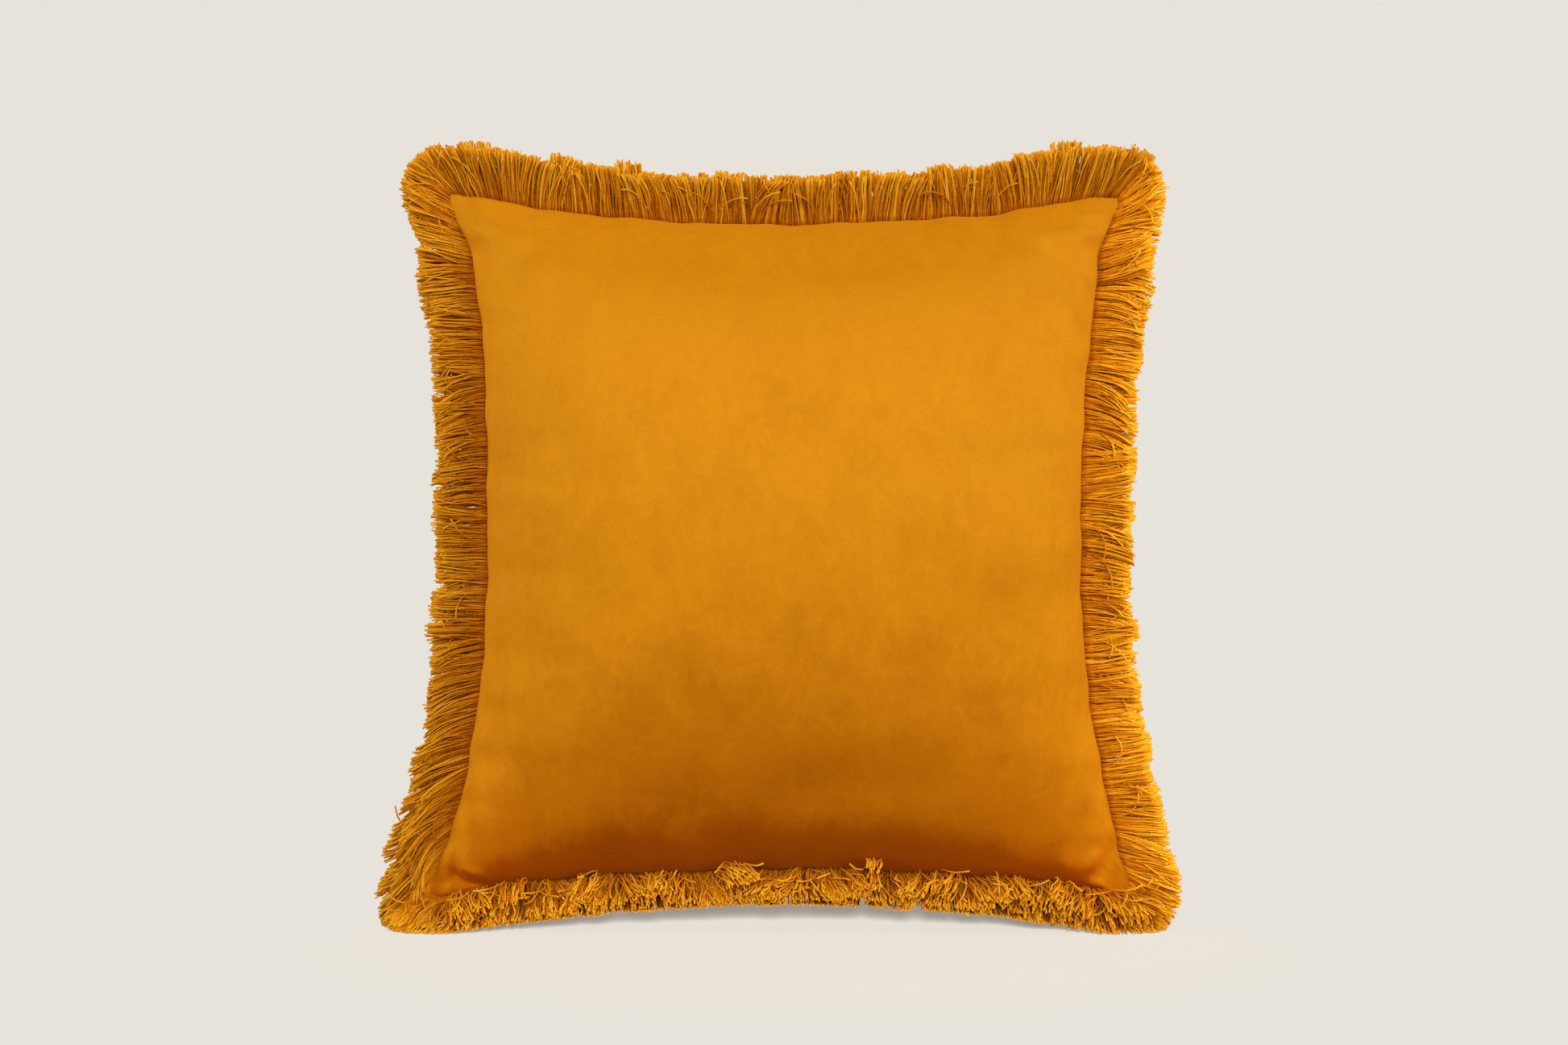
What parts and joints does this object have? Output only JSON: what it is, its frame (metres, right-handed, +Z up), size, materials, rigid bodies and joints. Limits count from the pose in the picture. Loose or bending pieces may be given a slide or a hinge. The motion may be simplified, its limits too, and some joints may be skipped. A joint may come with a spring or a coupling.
{
  "type": "throw pillow",
  "caption": "Square stuffed velvet throw pillow with a cut-yarn brush fringe on every side and a zip low on the back.",
  "frame": {"origin": "on the floor under the middle of the pillow, in the middle of its box", "axes": "+X to the right seen from the front, +Y to the back where the zip is, +Z up"},
  "size_m": [0.4878, 0.15, 0.4877],
  "materials": {
    "velvet": "short-pile cotton velvet, golden mustard, matt with a soft sheen",
    "yarn": "cut and twisted mustard yarn, matt",
    "webbing": "narrow woven band, mustard, matt",
    "zip_tape": "woven polyester tape, dull",
    "zip_coil": "moulded nylon coil, mustard, low sheen",
    "zip_metal": "lacquered antique brass colour, satin",
    "casing": "plain white cotton cloth, matt",
    "fibre": "white polyester fibre fill, matt",
    "label": "white woven satin ribbon, blank"
  },
  "bodies": {
    "pillow": {"cover_front_panel": "velvet", "cover_back_upper_panel": "velvet", "cover_back_lower_panel": "velvet", "fringe_heading": "webbing", "fringe_top": "yarn", "fringe_right": "yarn", "fringe_bottom": "yarn", "fringe_left": "yarn", "zip_tape_upper": "zip_tape", "zip_tape_lower": "zip_tape", "zip_coil_upper": "zip_coil", "zip_coil_lower": "zip_coil", "zip_top_stop_upper": "zip_metal", "zip_top_stop_lower": "zip_metal", "zip_bottom_stop": "zip_metal", "insert_casing_front": "casing", "insert_casing_back": "casing", "insert_filling": "fibre", "care_label": "label"},
    "slider": {"zip_slider": "zip_metal"},
    "pull": {"zip_pull": "zip_metal"}
  },
  "joints": [
    {"name": "zip_slide", "type": "slide", "parent": "pillow", "child": "slider", "axis": [-1, 0, 0], "range_m": [0, 0.27]},
    {"name": "pull_hinge", "type": "hinge", "parent": "slider", "child": "pull", "pos_m": [0.135, 0.03387, 0.06283], "axis": [0, -0.5878, -0.809], "range_deg": [0, 180]}
  ]
}
